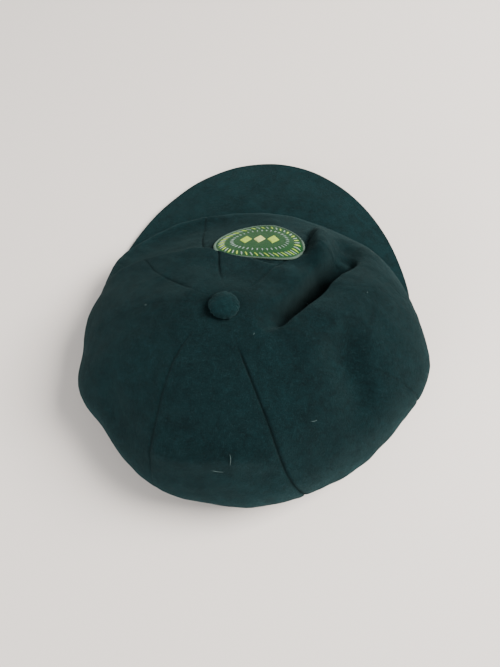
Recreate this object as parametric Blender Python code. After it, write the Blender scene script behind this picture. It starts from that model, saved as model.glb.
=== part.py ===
"""Baggy eight-panel wool cap with a stiff curved peak, lying slumped on a flat surface.

Sizes are in millimetres, and MM turns them into Blender's metres when a mesh is made.
+Y is the front, where the peak points, and +Z is up. z = 0 is the surface that the cap lies on, and
the world's origin is in the middle of the whole cap's footprint, which PLACE sees to.
"""

import math

import bmesh
import bpy
import numpy as np

MM = 0.001
PLACE = (-1.0, 1.8, 0.0)
PEAK_NODES = ("peak_top_cover", "peak_board", "peak_under_cover")

# Crown, seen from above: the button's place, and the rim where the crown is widest.
BUTTON_X, BUTTON_Y = -18.0, -37.0
CROWN_TOP_Z = 71.0
RIM_Z = 25.0
RIM_RADII = (
    133, 130.5, 128, 125, 117, 111, 106.5, 104.5, 103.5, 102.5, 101.5, 96,
    95, 96, 100.5, 98.5, 100, 103, 105.5, 107, 110, 114, 119, 126,
)  # from the button to the rim every 15 degrees, anticlockwise from +X
DOME_PLAN_POWER, DOME_HEIGHT_POWER = 2.4, 0.62
BUTTON_HOLE_R = 3.2

# Panels, anticlockwise, each with its first seam's direction in degrees at the button, a third and
# two thirds of the way out, and at the rim.
PANELS = {
    "back_right": (-62, -60, -60, -57),
    "right": (-16, -12, -10, -12),
    "front_right": (20, 22, 20, 16),
    "front": (64, 58, 57, 61),
    "front_left": (107, 107, 106, 106),
    "left": (149, 149, 150, 155),
    "back_left": (172, 185, 195, 200),
    "back": (210, 232, 245, 257),
}
PANEL_T, LINING_T, CLOTH_GAP, SEAM_GAP = 1.8, 0.6, 0.5, 0.9
PANEL_ACROSS, PANEL_DOWN, TUCK_DOWN = 5, 11, 3
FRONT_ACROSS, FRONT_DOWN = 8, 18

# Folds of the slumped crown, as routes seen from above. The first has the sunk front on its left.
FRONT_FOLD = (
    (-112, -6), (-92, -2), (-68, 2), (-52, 9), (-36, 14), (-18, 11), (2, 10), (16, 13), (26, 24),
    (31, 42), (36, 62), (40, 90),
)
FRONT_SAG, SAG_BACK, SAG_WIDTH = 9.0, 40.0, 45.0
FRONT_DROP, DROP_BACK, DROP_WIDTH = 10.0, 6.0, 20.0
DEEP_FOLD = ((4, -44), (14, -39), (22, -30), (31, -15), (42, -5), (52, 12), (62, 23), (76, 34))
DEEP_FOLD_DEPTH, DEEP_FOLD_WIDTH = 9.0, 9.0
DEEP_FOLD_LIP, LIP_AWAY, LIP_WIDTH = 4.0, 17.0, 10.0
DEEP_FOLD_ENDS = 0.7
ROUTE_STEPS = 6
RIM_STILL_POWER, BUTTON_STILL_R = 6, 30.0

# Head opening: an ellipse for a 58 cm head, with the bands around it from the inside out.
BAND_X, BAND_Y = 0.0, -31.5
HEAD_A, HEAD_B = 91.5, 93.0
SWEATBAND_T, STAY_T, HEM_T, BAND_GAP = 1.2, 1.0, 2.0, 0.4
SWEATBAND_LOW, SWEATBAND_WIDTH = 1.5, 29.0
STAY_HEIGHTS = (2.0, 14.0, 26.0)
HEM_HEIGHT = 9.0
BAND_STEP = 7.5
FRONT_LEAN, LEAN_FROM, LEAN_OVER = math.radians(55), 0.2, 0.6
FRONT_LIFT = 7.0
ELASTIC_FROM, ELASTIC_TO = 240.0, 300.0
CROWN_EDGE_GAP, CROWN_EDGE_Z = 0.6, 4.0
NORMAL_STEP, SLOPE_STEP = 0.012, 2.0

# Peak: its sewn inner edge follows the hem, and its outer edge is part of an ellipse.
PEAK_END = 16.0
PEAK_ROUND = 17.0
PEAK_HEM_GAP = 1.7
PEAK_X, PEAK_Y, PEAK_A, PEAK_B = -2.0, -21.5, 114.0, 160.5
PEAK_INNER_Z, PEAK_OUTER_Z = 5.0, 2.8
PEAK_CURVE = 1.25
PEAK_COVER_T, PEAK_BOARD_T, PEAK_GAP = 1.2, 2.0, 0.4
BOARD_INSET = 0.035
END_CLEARANCE, FRONT_CLEARANCE = 5.0, 3.5
PEAK_AROUND, PEAK_OUT = 24, 4
HINGE_Y, HINGE_Z = 48.0, 9.0

# Button on top, turned about its own axis: radius, then height over the crown.
BUTTON_SIDES, DOME_STEPS = 18, 5
PLATE_R, PLATE_T, PLATE_LIFT = 6.6, 0.8, 1.3
SHANK_R, SHANK_LENGTH = 1.2, 8.5
SHELL_R, SHELL_H, SHELL_T, SHELL_LIFT = 7.4, 3.2, 0.5, 2.5
COVER_R, COVER_H, COVER_T, COVER_LIFT, COVER_WALL = 8.8, 5.6, 0.9, 0.6, 1.2
WASHER_R, WASHER_HOLE_R, WASHER_T, WASHER_DROP = 6.0, 1.8, 0.8, 5.0

# Badge on the front panel.
BADGE_X, BADGE_Y = -7.0, 34.0
BADGE_R, BADGE_BORDER, BADGE_RING_R, BADGE_RING_W = 32.0, 2.2, 16.5, 1.4
BADGE_STRETCH = 0.87
BADGE_LIFT, BADGE_T, BORDER_T, THREAD_T = 1.4, 0.9, 1.9, 0.5
BADGE_GAP, THREAD_GAP = 0.4, 0.9
DIAMOND_HALF_W, DIAMOND_HALF_H, DIAMOND_STEP = 3.9, 7.5, 8.6
BADGE_AROUND, BADGE_SQUARES = 32, 8
BASE_SHORT = 0.985

# Label inside the back of the sweatband.
LABEL_HEIGHTS, LABEL_T = (8.0, 22.0), 0.4

WOOL, DARK_WOOL = (0.012, 0.043, 0.042), (0.010, 0.034, 0.034)
LINING, BRAID, BUCKRAM = (0.030, 0.060, 0.055), (0.020, 0.040, 0.036), (0.72, 0.70, 0.64)
STEEL, BOARD, WHITE = (0.62, 0.62, 0.60), (0.55, 0.50, 0.42), (0.80, 0.80, 0.77)
SILVER, FIELD = (0.42, 0.45, 0.42), (0.020, 0.105, 0.045)
LIME, CREAM = (0.42, 0.55, 0.12), (0.72, 0.68, 0.40)


def clear_scene():
    for old in list(bpy.data.objects):
        bpy.data.objects.remove(old, do_unlink=True)


def material(name, colour, roughness, metallic=0.0):
    made = bpy.data.materials.new(name)
    made.use_nodes = True
    shader = made.node_tree.nodes["Principled BSDF"]
    shader.inputs["Base Color"].default_value = (*colour, 1.0)
    shader.inputs["Roughness"].default_value = roughness
    shader.inputs["Metallic"].default_value = metallic
    return made


def add_object(name, bm, look, origin=(0.0, 0.0, 0.0), smooth=True):
    """A mesh object whose points are in millimetres about origin, with faces pointing out."""
    bmesh.ops.recalc_face_normals(bm, faces=bm.faces)
    bmesh.ops.scale(bm, vec=(MM, MM, MM), verts=bm.verts)
    mesh = bpy.data.meshes.new(name)
    bm.to_mesh(mesh)
    bm.free()
    mesh.materials.append(look)
    if smooth:
        mesh.shade_smooth()
        mesh.set_sharp_from_angle(angle=math.radians(40))
    made = bpy.data.objects.new(name, mesh)
    made.location = [MM * (value + shift) for value, shift in zip(origin, PLACE)]
    bpy.context.scene.collection.objects.link(made)
    return made


def skin_between(name, outer, inner, look, closed=False):
    """A closed body between two grids of points, outer and inner, each (rows, columns, 3).

    closed joins the last column to the first, for a full ring.
    """
    rows, columns = outer.shape[:2]
    bm = bmesh.new()
    sides = [[[bm.verts.new(p) for p in row] for row in grid] for grid in (outer, inner)]
    last = columns if closed else columns - 1
    for front, side in ((True, sides[0]), (False, sides[1])):
        for i in range(rows - 1):
            for j in range(last):
                k = (j + 1) % columns
                quad = (side[i][j], side[i][k], side[i + 1][k], side[i + 1][j])
                halves = ((0, 1, 2), (0, 2, 3))
                for half in halves:
                    corners = [quad[n] for n in half]
                    bm.faces.new(corners if front else corners[::-1])
    for i in (0, rows - 1):
        for j in range(last):
            k = (j + 1) % columns
            bm.faces.new((sides[0][i][j], sides[0][i][k], sides[1][i][k], sides[1][i][j]))
    if not closed:
        for j in (0, columns - 1):
            for i in range(rows - 1):
                bm.faces.new((sides[0][i][j], sides[0][i + 1][j], sides[1][i + 1][j], sides[1][i][j]))
    bmesh.ops.triangulate(bm, faces=[f for f in bm.faces if len(f.verts) > 3])
    return add_object(name, bm, look)


def turned(name, profile, look, origin):
    """A closed body turned about +Z from a closed profile of (radius, height) points."""
    bm = bmesh.new()
    points = [bm.verts.new((radius, 0.0, height)) for radius, height in profile]
    edges = [bm.edges.new((a, b)) for a, b in zip(points, points[1:] + points[:1])]
    edges = [edge for edge in edges if max(v.co.x for v in edge.verts) > 1e-6]
    bmesh.ops.spin(
        bm, geom=points + edges, axis=(0, 0, 1), cent=(0, 0, 0), steps=BUTTON_SIDES,
        angle=math.tau, use_duplicate=False,
    )
    bmesh.ops.remove_doubles(bm, verts=bm.verts, dist=0.0001)
    loose = [edge for edge in bm.edges if not edge.link_faces]
    bmesh.ops.delete(bm, geom=loose, context="EDGES")
    return add_object(name, bm, look, origin)


def smooth_step(value):
    value = np.clip(value, 0.0, 1.0)
    return value * value * (3.0 - 2.0 * value)


def through(values, at, periodic=False):
    """A smooth curve through evenly spaced values, read at places from 0 to the last one."""
    values = np.asarray(values, float)
    count = len(values)
    low = np.floor(at).astype(int)
    if not periodic:
        low = np.clip(low, 0, count - 2)
    part = at - low

    def pick(k):
        if periodic:
            return values[k % count]
        inside = values[np.clip(k, 0, count - 1)]
        before = np.where(k < 0, values[0] - values[1], 0.0)
        after = np.where(k > count - 1, values[-1] - values[-2], 0.0)
        return inside + before + after

    p0, p1, p2, p3 = (pick(low + k) for k in (-1, 0, 1, 2))
    return p1 + 0.5 * part * (
        p2 - p0 + part * (2 * p0 - 5 * p1 + 4 * p2 - p3 + part * (3 * (p1 - p2) + p3 - p0))
    )


def route_points(route):
    route = np.asarray(route, float)
    at = np.linspace(0, len(route) - 1, (len(route) - 1) * ROUTE_STEPS + 1)
    return np.stack([through(route[:, axis], at) for axis in (0, 1)], axis=1)


def beside(x, y, route):
    """How far a point is to the left of a route, and how far along the nearest place is, 0 to 1."""
    points = route_points(route)
    gap = np.hypot(x[..., None] - points[:, 0], y[..., None] - points[:, 1])
    near = gap.argmin(axis=-1)
    along = np.gradient(points, axis=0)[near]
    away_x, away_y = x - points[near, 0], y - points[near, 1]
    side = np.sign(along[..., 0] * away_y - along[..., 1] * away_x)
    return side * gap.min(axis=-1), near / (len(points) - 1)


def folds(x, y):
    """How much the slump lifts (+) or lowers (-) the crown's top at a place seen from above."""
    front, _ = beside(x, y, FRONT_FOLD)
    sunk = FRONT_SAG * smooth_step((front + SAG_BACK) / SAG_WIDTH)
    sunk = sunk + FRONT_DROP * smooth_step((front + DROP_BACK) / DROP_WIDTH)
    deep, along = beside(x, y, DEEP_FOLD)
    fade = np.maximum(np.sin(math.pi * along), 0) ** DEEP_FOLD_ENDS
    valley = DEEP_FOLD_DEPTH * np.exp(-((deep / DEEP_FOLD_WIDTH) ** 2))
    lip = DEEP_FOLD_LIP * np.exp(-(((deep + LIP_AWAY) / LIP_WIDTH) ** 2))
    return (lip - valley) * fade - sunk


def still_part(out, radius):
    """How much of the slump shows: none right at the button and none at the rim."""
    return (1 - out**RIM_STILL_POWER) * smooth_step(radius / BUTTON_STILL_R)


def front_rise(angle):
    """0 around the back, and up to 1 at the middle of the front, where the peak lifts the band."""
    start = math.sin(math.radians(PEAK_END))
    return np.clip((np.sin(angle) - start) / (1 - start), 0.0, 1.0)


def crown_edge(angle):
    """Height of the crown's sewn lower edge, which clears the peak where there is one."""
    start = math.sin(math.radians(PEAK_END / 4))
    over = smooth_step((np.sin(angle) - start) / (math.sin(math.radians(PEAK_END)) - start))
    peak_top = PEAK_INNER_Z + PEAK_BOARD_T / 2 + PEAK_GAP + PEAK_COVER_T
    lift = peak_top + END_CLEARANCE - CROWN_EDGE_Z
    rise = FRONT_LIFT + FRONT_CLEARANCE - END_CLEARANCE
    return CROWN_EDGE_Z + lift * over + rise * front_rise(angle)


def hem_outer():
    thickness = SWEATBAND_T + STAY_T + HEM_T + 2 * BAND_GAP
    return HEAD_A + thickness, HEAD_B + thickness


def crown_point(panel, down):
    """A point of the crown's outer face.

    panel counts the panels round from the first seam, and down is 0 at the button, 1 at the rim and
    2 at the sewn lower edge.
    """
    seams = np.array(list(PANELS.values()), float)
    seams = np.vstack([seams, seams[0] + 360])
    station = np.clip(down, 0, 1) * 3
    low = np.clip(np.floor(panel).astype(int), 0, len(PANELS) - 1)
    spread = np.stack([through(row, station) for row in seams])
    first = np.take_along_axis(spread, low[None], 0)[0]
    second = np.take_along_axis(spread, low[None] + 1, 0)[0]
    turn = first + (second - first) * (panel - low)
    angle = np.radians(turn)
    rim = through(RIM_RADII, (turn % 360) / 15, periodic=True)

    bend = np.clip(down, 0, 1) * math.pi / 2
    out = np.sin(bend) ** (2 / DOME_PLAN_POWER)
    x = BUTTON_X + out * rim * np.cos(angle)
    y = BUTTON_Y + out * rim * np.sin(angle)
    z = RIM_Z + (CROWN_TOP_Z - RIM_Z) * np.maximum(np.cos(bend), 0) ** (2 * DOME_HEIGHT_POWER)
    z = z + folds(x, y) * still_part(out, out * rim)

    tuck = np.clip(down - 1, 0, 1) * math.pi / 2
    around = np.arctan2(y - BAND_Y, x - BAND_X)
    half_x, half_y = (half + CROWN_EDGE_GAP for half in hem_outer())
    edge_x = BAND_X + half_x * np.cos(around)
    edge_y = BAND_Y + half_y * np.sin(around)
    inward = 1 - np.cos(tuck)
    x = x + (edge_x - x) * inward
    y = y + (edge_y - y) * inward
    z = z + (crown_edge(around) - z) * np.sin(tuck)
    return np.stack([x, y, z], axis=-1)


def crown_normal(panel, down):
    """Outward direction of the crown's outer face."""
    across = crown_point(panel + NORMAL_STEP, down) - crown_point(panel - NORMAL_STEP, down)
    along = crown_point(panel, down + NORMAL_STEP) - crown_point(panel, down - NORMAL_STEP)
    normal = np.cross(along, across)
    return normal / np.linalg.norm(normal, axis=-1, keepdims=True)


def panel_grid(index):
    """Places over one panel, short of its seams by half the seam gap: (panel, down) grids."""
    rim = min(RIM_RADII)
    first = math.asin((BUTTON_HOLE_R / rim) ** (DOME_PLAN_POWER / 2)) / (math.pi / 2)
    front = list(PANELS)[index] == "front"
    columns, rows = (FRONT_ACROSS, FRONT_DOWN) if front else (PANEL_ACROSS, PANEL_DOWN)
    down = np.concatenate([np.linspace(first, 1, rows + 1), np.linspace(1, 2, TUCK_DOWN + 1)[1:]])
    down = np.repeat(down[:, None], columns + 1, axis=1)
    edges = crown_point(np.full_like(down, index), down) - crown_point(
        np.full_like(down, index + 1), down
    )
    short = SEAM_GAP / 2 / np.linalg.norm(edges, axis=-1)
    across = np.linspace(0, 1, columns + 1)[None]
    return index + short + across * (1 - 2 * short), down


def make_crown(wool, lining):
    """The eight wool panels, and the eight lining panels just inside them."""
    for index, side in enumerate(PANELS):
        panel, down = panel_grid(index)
        points, normal = crown_point(panel, down), crown_normal(panel, down)
        skin_between(f"crown_panel_{side}", points, points - PANEL_T * normal, wool)
        top = PANEL_T + CLOTH_GAP
        skin_between(
            f"lining_panel_{side}", points - top * normal, points - (top + LINING_T) * normal, lining
        )


def band_angles(start, stop, trim=0.0):
    """Directions every BAND_STEP degrees from start to stop, with the two ends trimmed inwards."""
    angle = np.arange(start, stop + BAND_STEP / 2, BAND_STEP)
    angle[0] += trim
    angle[-1] -= trim
    return np.radians(angle)


def band_point(angle, depth, rise):
    """A place on the bands: depth outwards from the head, rise up the band from its lower edge.

    Around the front the bands lean inwards under the sunk front panel.
    """
    lean = FRONT_LEAN * smooth_step((np.sin(angle) - LEAN_FROM) / LEAN_OVER)
    out = depth * np.cos(lean) - rise * np.sin(lean)
    up = SWEATBAND_LOW + rise * np.cos(lean) + depth * np.sin(lean)
    return np.stack(
        [
            BAND_X + (HEAD_A + out) * np.cos(angle),
            BAND_Y + (HEAD_B + out) * np.sin(angle),
            up + FRONT_LIFT * front_rise(angle),
        ],
        axis=-1,
    )


def band_part(name, inset, thickness, heights, look, angle, closed=False):
    """A band round the head opening, inset outwards from the head, with a row at each height."""
    outer, inner = (
        np.array([band_point(angle, depth, height) for height in heights])
        for depth in (inset + thickness, inset)
    )
    return skin_between(name, outer, inner, look, closed)


def make_bands(braid, buckram, wool, label):
    """The sweatband, the stiff stay with the elastic behind, the hem and the size label."""
    full = band_angles(0, 360)[:-1]
    stay = SWEATBAND_T + BAND_GAP
    trim = math.degrees(BAND_GAP / HEAD_B)
    sweatband_heights = (0.0, *STAY_HEIGHTS, SWEATBAND_WIDTH)
    band_part("sweatband", 0.0, SWEATBAND_T, sweatband_heights, braid, full, closed=True)
    stay_angles = band_angles(ELASTIC_TO - 360, ELASTIC_FROM, trim)
    band_part("headband_stay", stay, STAY_T, STAY_HEIGHTS, buckram, stay_angles)
    elastic = band_angles(ELASTIC_FROM, ELASTIC_TO, trim)
    band_part("back_elastic", stay, STAY_T, STAY_HEIGHTS, label, elastic)
    tag = band_angles(270 - BAND_STEP, 270 + BAND_STEP)
    band_part("size_label", -BAND_GAP - LABEL_T, LABEL_T, LABEL_HEIGHTS, label, tag)
    hem_ring(stay + STAY_T + BAND_GAP, wool, full)


def hem_ring(inset, wool, angle):
    """The crown's turned-in hem, a low upright ring whose back half is flat on the surface."""
    faces = [
        np.array(
            [
                np.stack(
                    [
                        BAND_X + (HEAD_A + depth) * np.cos(angle),
                        BAND_Y + (HEAD_B + depth) * np.sin(angle),
                        height + FRONT_LIFT * front_rise(angle),
                    ],
                    axis=-1,
                )
                for height in (0.0, HEM_HEIGHT)
            ]
        )
        for depth in (inset + HEM_T, inset)
    ]
    return skin_between("hem_band", *faces, wool, closed=True)


def peak_surface(low_z, high_z, inner, outer):
    """Grids of the peak's outer and inner faces at two heights over its middle surface.

    inner and outer are how far across the peak its edges are, 0 at the hem and 1 at the outline.
    """
    angle = np.radians(np.linspace(PEAK_END, 180 - PEAK_END, PEAK_AROUND + 1))[None]
    across = np.linspace(inner, outer, PEAK_OUT + 1)[:, None]
    half_x, half_y = (half + PEAK_HEM_GAP for half in hem_outer())
    near = half_x * half_y / np.hypot(half_y * np.cos(angle), half_x * np.sin(angle))
    far = outline_distance(angle)
    end = np.radians(PEAK_END)
    from_end = np.minimum(angle - end, math.pi - end - angle) / np.radians(PEAK_ROUND)
    corner = np.sqrt(np.clip(1 - (1 - np.clip(from_end, 0.004, 1)) ** 2, 0, 1))
    distance = near + (far - near) * corner * across
    x = BAND_X + distance * np.cos(angle)
    y = BAND_Y + distance * np.sin(angle)
    inner_z = PEAK_INNER_Z + FRONT_LIFT * front_rise(angle)
    z = PEAK_OUTER_Z + (inner_z - PEAK_OUTER_Z) * (1 - across**PEAK_CURVE)
    return [np.stack([x, y, z + shift], axis=-1) for shift in (high_z, low_z)]


def outline_distance(angle):
    """From the head opening's middle to the peak's elliptical outline, in a direction."""
    dx, dy = (BAND_X - PEAK_X) / PEAK_A, (BAND_Y - PEAK_Y) / PEAK_B
    ux, uy = np.cos(angle) / PEAK_A, np.sin(angle) / PEAK_B
    a = ux**2 + uy**2
    b = dx * ux + dy * uy
    return (-b + np.sqrt(b**2 - a * (dx**2 + dy**2 - 1))) / a


def make_peak(wool, dark_wool, board):
    """Two covers with a stiff board between them, all moving about the seam's hinge line."""
    hinge = bpy.data.objects.new("peak_hinge", None)
    hinge.location = [MM * (value + shift) for value, shift in zip((0.0, HINGE_Y, HINGE_Z), PLACE)]
    bpy.context.scene.collection.objects.link(hinge)
    half = PEAK_BOARD_T / 2
    layers = (
        (half + PEAK_GAP, half + PEAK_GAP + PEAK_COVER_T, 0.0, 1.0, wool),
        (-half, half, BOARD_INSET, 1 - BOARD_INSET, board),
        (-half - PEAK_GAP - PEAK_COVER_T, -half - PEAK_GAP, 0.0, 1.0, dark_wool),
    )
    for name, (low, high, inner, outer, look) in zip(PEAK_NODES, layers):
        made = skin_between(name, *peak_surface(low, high, inner, outer), look)
        made.parent = hinge
        made.matrix_parent_inverse = hinge.matrix_basis.inverted()


def dome_profile(radius, height, base):
    """Points of a low dome from its rim to its top, over a base height."""
    turns = [math.pi / 2 * k / DOME_STEPS for k in range(DOME_STEPS + 1)]
    return [(radius * math.cos(t), base + height * math.sin(t)) for t in turns]


def make_button(wool, steel):
    """Covered button: fabric cover, steel shell, back plate with its shank, and washer inside."""
    place = (BUTTON_X, BUTTON_Y, CROWN_TOP_Z)
    outside = dome_profile(COVER_R, COVER_H, COVER_LIFT + COVER_WALL)
    inside = dome_profile(COVER_R - COVER_T, COVER_H - COVER_T, COVER_LIFT + COVER_WALL)
    foot = [(COVER_R - COVER_T, COVER_LIFT), (COVER_R, COVER_LIFT)]
    turned("button_cover", foot[1:] + outside + inside[::-1] + foot[:1], wool, place)
    shell = dome_profile(SHELL_R, SHELL_H, SHELL_LIFT)
    hollow = dome_profile(SHELL_R - SHELL_T, SHELL_H - SHELL_T, SHELL_LIFT)
    turned("button_shell", shell + hollow[::-1], steel, place)
    plate_top = PLATE_LIFT + PLATE_T
    turned(
        "button_back_plate",
        [
            (0, plate_top), (0, PLATE_LIFT - SHANK_LENGTH), (SHANK_R, PLATE_LIFT - SHANK_LENGTH),
            (SHANK_R, PLATE_LIFT), (PLATE_R, PLATE_LIFT), (PLATE_R, plate_top),
        ],
        steel, place,
    )
    low = -WASHER_DROP - WASHER_T
    turned(
        "button_washer",
        [(WASHER_HOLE_R, low), (WASHER_R, low), (WASHER_R, -WASHER_DROP), (WASHER_HOLE_R, -WASHER_DROP)],
        steel, place,
    )


def crown_top_height(x, y):
    """Height of the crown's top at places seen from above, and the outward direction there."""

    def height(px, py):
        turn = np.degrees(np.arctan2(py - BUTTON_Y, px - BUTTON_X))
        rim = through(RIM_RADII, (turn % 360) / 15, periodic=True)
        out = np.clip(np.hypot(px - BUTTON_X, py - BUTTON_Y) / rim, 0, 0.999)
        dome = (1 - out**DOME_PLAN_POWER) ** DOME_HEIGHT_POWER
        slump = folds(px, py) * still_part(out, out * rim)
        return RIM_Z + (CROWN_TOP_Z - RIM_Z) * dome + slump

    slope_x = (height(x + SLOPE_STEP, y) - height(x - SLOPE_STEP, y)) / (2 * SLOPE_STEP)
    slope_y = (height(x, y + SLOPE_STEP) - height(x, y - SLOPE_STEP)) / (2 * SLOPE_STEP)
    normal = np.stack([-slope_x, -slope_y, np.ones_like(x)], axis=-1)
    return height(x, y), normal / np.linalg.norm(normal, axis=-1, keepdims=True)


def badge_part(name, across, along, low, high, look, closed=False):
    """A thin piece over the badge, from its places across and along the badge's own face."""
    x = BADGE_X + across
    y = BADGE_Y + along * BADGE_STRETCH
    z, normal = crown_top_height(x, y)
    points = np.stack([x, y, z], axis=-1)
    return skin_between(name, points + high * normal, points + low * normal, look, closed)


def round_grid(inner, outer):
    """Places on two circles, as (across, along) grids with a row for each circle."""
    radius = np.array([inner, outer])[:, None]
    angle = np.radians(np.linspace(0, 360, BADGE_AROUND, endpoint=False))[None]
    return radius * np.cos(angle), radius * np.sin(angle)


def make_badge(field, silver, lime, cream):
    """Woven badge: a round base with a stitched border, a plain ring and a row of three diamonds."""
    inner = BADGE_R - BADGE_BORDER
    rows = np.linspace(-1, 1, BADGE_SQUARES + 1)[:, None]
    columns = np.linspace(-1, 1, BADGE_SQUARES + 1)[None]
    across = inner * BASE_SHORT * columns * np.sqrt(1 - rows**2 / 2)
    along = inner * BASE_SHORT * rows * np.sqrt(1 - columns**2 / 2)
    badge_part("badge_base", across, along, BADGE_LIFT, BADGE_LIFT + BADGE_T, field)
    border = round_grid(inner + BADGE_GAP, BADGE_R)
    badge_part("badge_border", *border, BADGE_LIFT, BADGE_LIFT + BORDER_T, silver, closed=True)
    low = BADGE_LIFT + BADGE_T + THREAD_GAP
    ring = round_grid(BADGE_RING_R, BADGE_RING_R + BADGE_RING_W)
    badge_part("badge_ring", *ring, low, low + THREAD_T, silver, closed=True)
    side_a, side_b = np.meshgrid(np.linspace(-0.5, 0.5, 5), np.linspace(-0.5, 0.5, 5))
    for name, place, look in (("left", -1, lime), ("middle", 0, cream), ("right", 1, lime)):
        across = place * DIAMOND_STEP + DIAMOND_HALF_W * (side_a + side_b)
        along = DIAMOND_HALF_H * (side_a - side_b)
        badge_part(f"badge_diamond_{name}", across, along, low, low + THREAD_T, look)


def build():
    clear_scene()
    wool = material("green_wool", WOOL, 0.95)
    dark_wool = material("under_peak_wool", DARK_WOOL, 0.95)
    lining = material("lining_cotton", LINING, 0.8)
    braid = material("sweatband_braid", BRAID, 0.8)
    buckram = material("buckram", BUCKRAM, 0.9)
    elastic = material("white_tape", WHITE, 0.85)
    steel = material("steel", STEEL, 0.35, 1.0)
    board = material("peak_board", BOARD, 0.7)
    make_crown(wool, lining)
    make_bands(braid, buckram, wool, elastic)
    make_peak(wool, dark_wool, board)
    make_button(wool, steel)
    make_badge(
        material("badge_field", FIELD, 0.8), material("badge_silver", SILVER, 0.6),
        material("badge_lime", LIME, 0.6), material("badge_cream", CREAM, 0.6),
    )


build()
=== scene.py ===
"""Looks of the slumped wool cap: its cloth, folds, seams, badge and button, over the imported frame.

Lengths in the shape functions are millimetres; MM turns them into metres. +Y is the front, +Z is up.
"""

import math

import bpy
import numpy as np
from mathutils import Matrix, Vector


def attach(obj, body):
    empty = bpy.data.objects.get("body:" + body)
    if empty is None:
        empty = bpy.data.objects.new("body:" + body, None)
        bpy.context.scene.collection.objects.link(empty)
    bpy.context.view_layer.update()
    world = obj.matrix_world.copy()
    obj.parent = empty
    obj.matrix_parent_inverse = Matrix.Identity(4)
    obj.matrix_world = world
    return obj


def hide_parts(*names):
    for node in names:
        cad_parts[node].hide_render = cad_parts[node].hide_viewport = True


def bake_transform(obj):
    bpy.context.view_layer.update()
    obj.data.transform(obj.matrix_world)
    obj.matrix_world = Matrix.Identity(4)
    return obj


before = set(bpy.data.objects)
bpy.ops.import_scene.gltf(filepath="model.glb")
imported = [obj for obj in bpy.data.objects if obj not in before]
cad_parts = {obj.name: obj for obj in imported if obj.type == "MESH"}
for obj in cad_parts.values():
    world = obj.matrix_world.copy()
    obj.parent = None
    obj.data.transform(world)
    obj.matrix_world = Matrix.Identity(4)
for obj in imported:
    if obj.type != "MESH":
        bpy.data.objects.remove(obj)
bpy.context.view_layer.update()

MM = 0.001
SEED = 7
PLACE = np.array([-1.0, 1.8, 0.0])  # from the cap's own plan to the frame's origin

# Crown, as in the frame: button, rim and the seams' directions, in millimetres and degrees.
BUTTON_X, BUTTON_Y = -18.0, -37.0
CROWN_TOP_Z = 71.0
RIM_Z, FRONT_RIM_DROP = 25.0, 3.0
RIM_RADII = (
    133, 130.5, 128, 125, 117, 111, 106.5, 104.5, 103.5, 102.5, 101.5, 96,
    95, 96, 100.5, 98.5, 100, 103, 105.5, 107, 110, 114, 119, 126,
)
DOME_PLAN_POWER, DOME_HEIGHT_POWER = 2.4, 0.62
SEAMS = (
    (-64, -61, -60, -55.5), (-16, -12, -11, -11), (20, 22, 20, 16), (54, 57, 58, 61),
    (101, 114, 110.5, 108), (156, 154, 152, 155), (176, 186, 195, 200), (222, 243, 252, 256),
)
PANEL_SIDES = (
    "back_right", "right", "front_right", "front", "front_left", "left", "back_left", "back",
)

# Head opening and the bands round it.
BAND_X, BAND_Y = 0.0, -31.5
HEAD_A, HEAD_B = 91.5, 93.0
HEM_INSET, HEM_T, HEM_HEIGHT = 3.0, 2.0, 9.0
FRONT_LEAN, FRONT_LIFT = math.radians(55), 7.0
SWEATBAND_LOW, SWEATBAND_WIDTH, SWEATBAND_T = 1.5, 29.0, 1.2
STAY_SECTION = (6.5, 25.8, 1.65, 2.55)
STAY_ENDS, ELASTIC_ENDS = (-59.7, 239.7), (240.3, 299.7)
LABEL_ENDS, LABEL_HEIGHTS, LABEL_T, LABEL_OFF = (262.5, 277.5), (8.0, 22.0), 0.45, 0.25

# Peak.
PEAK_END, PEAK_ROUND = 16.0, 17.0
PEAK_COVER_END = 14.3  # where the wool closes over the ends of the board
PEAK_HEM_GAP = 1.7
PEAK_X, PEAK_Y, PEAK_A, PEAK_B = -2.0, -21.5, 114.0, 160.5
PEAK_INNER_Z, PEAK_OUTER_Z, PEAK_CURVE = 5.0, 2.8, 1.25
PEAK_HALF, PEAK_EASE = 2.6, 1.4

# Badge, sewn on the front panel: its middle, its radius and the three plain diamonds on it.
BADGE_X, BADGE_Y, BADGE_R = -6.2, 30.0, 30.5
BADGE_GATHER, BADGE_BOW = 0.745, 0.010  # how far the cloth draws it in, and its ends bow back
BADGE_LIFT, BADGE_T = 0.5, 0.9
DOTS, DOTS_R = 36, 19.0
LEAVES, LEAVES_R, LEAF_SLANT = 48, 25.6, 0.6
DIAMOND_HALF_W, DIAMOND_HALF_H, DIAMOND_STEP = 4.3, 8.0, 9.4
EDGE_THICK = 0.8

# Lining: how far it hangs under the wool's top, and is drawn in at the sides.
LINING_GAP, LINING_INSET = 2.2, 0.06
LINING_DEPTH = 2.6  # inside the wool

# Button.
BUTTON_R, BUTTON_H, BUTTON_LIFT, BUTTON_TILT = 9.0, 5.5, 1.3, 0.04

# Colours of the cloth and the floor, and the light.
WOOL, PEAK_WOOL = (0.0018, 0.0086, 0.0096), (0.0018, 0.0097, 0.0108)
FLOOR = (0.80, 0.733, 0.67)
WORLD_LIGHT, KEY_POWER, FILL_POWER = 0.50, 96, 46


# ---------------------------------------------------------------- helpers


def smooth_step(value):
    value = np.clip(value, 0.0, 1.0)
    return value * value * (3.0 - 2.0 * value)


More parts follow.
